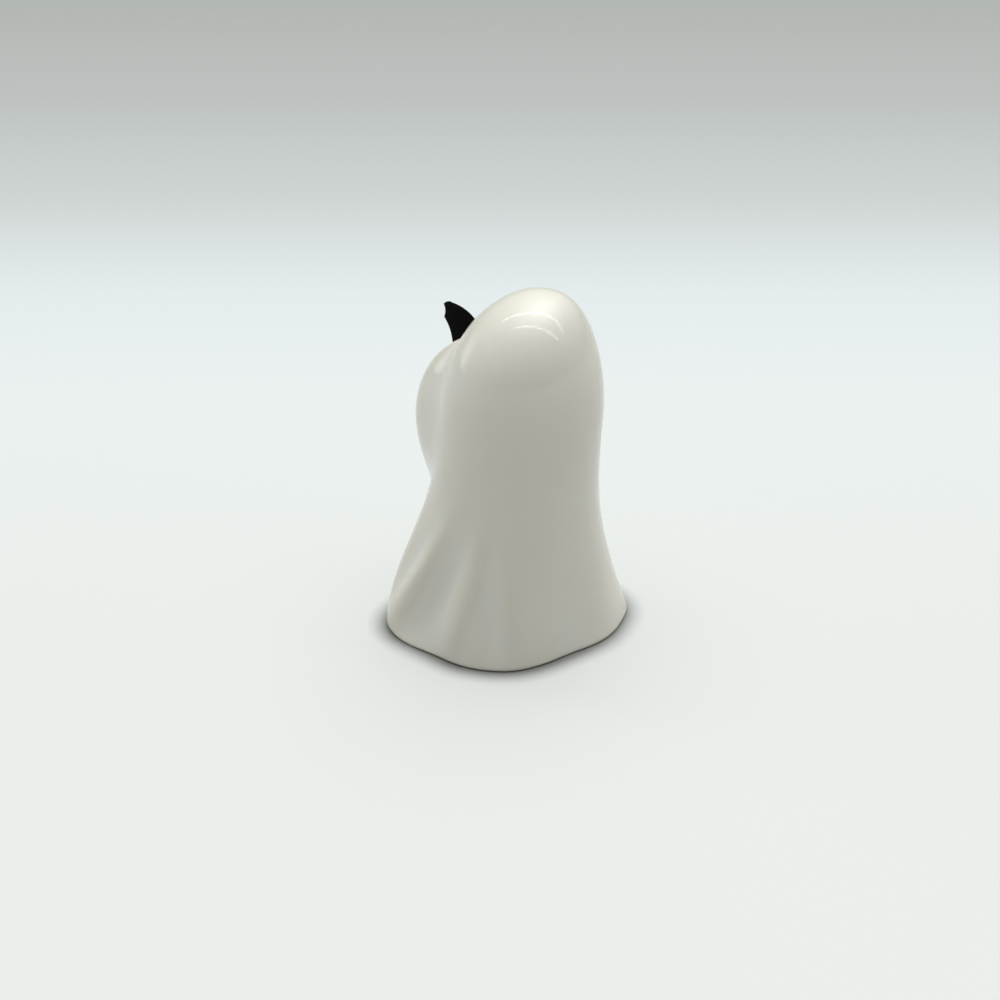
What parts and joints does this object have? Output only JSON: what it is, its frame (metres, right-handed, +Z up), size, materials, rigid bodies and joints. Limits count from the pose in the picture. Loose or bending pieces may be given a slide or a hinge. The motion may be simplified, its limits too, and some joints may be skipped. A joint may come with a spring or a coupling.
{
  "type": "ghost figure",
  "caption": "Free-standing glazed ceramic ghost in a draped sheet, hollow with a pour hole, with let-in eyes and a small winged bat pegged to its chest between its hands.",
  "frame": {"origin": "centre of the bounding box on the plane the foot ring stands on", "axes": "+Z up, -Y to the front the figure faces, +X to the figure's own left"},
  "size_m": [0.0678, 0.0548, 0.1],
  "materials": {
    "white_glaze": "glossy white glaze over earthenware, bare clay on the foot ring",
    "black_enamel": "glossy black enamel",
    "black_resin": "matte black cast resin",
    "black_sheet": "matte black paint on thin sheet",
    "steel": "plain steel pin"
  },
  "bodies": {
    "root": {"ghost_shell": "white_glaze", "eye_left": "black_enamel", "eye_right": "black_enamel", "bat_body": "black_resin", "bat_wing_left": "black_sheet", "bat_wing_right": "black_sheet", "bat_peg": "steel"}
  },
  "joints": []
}
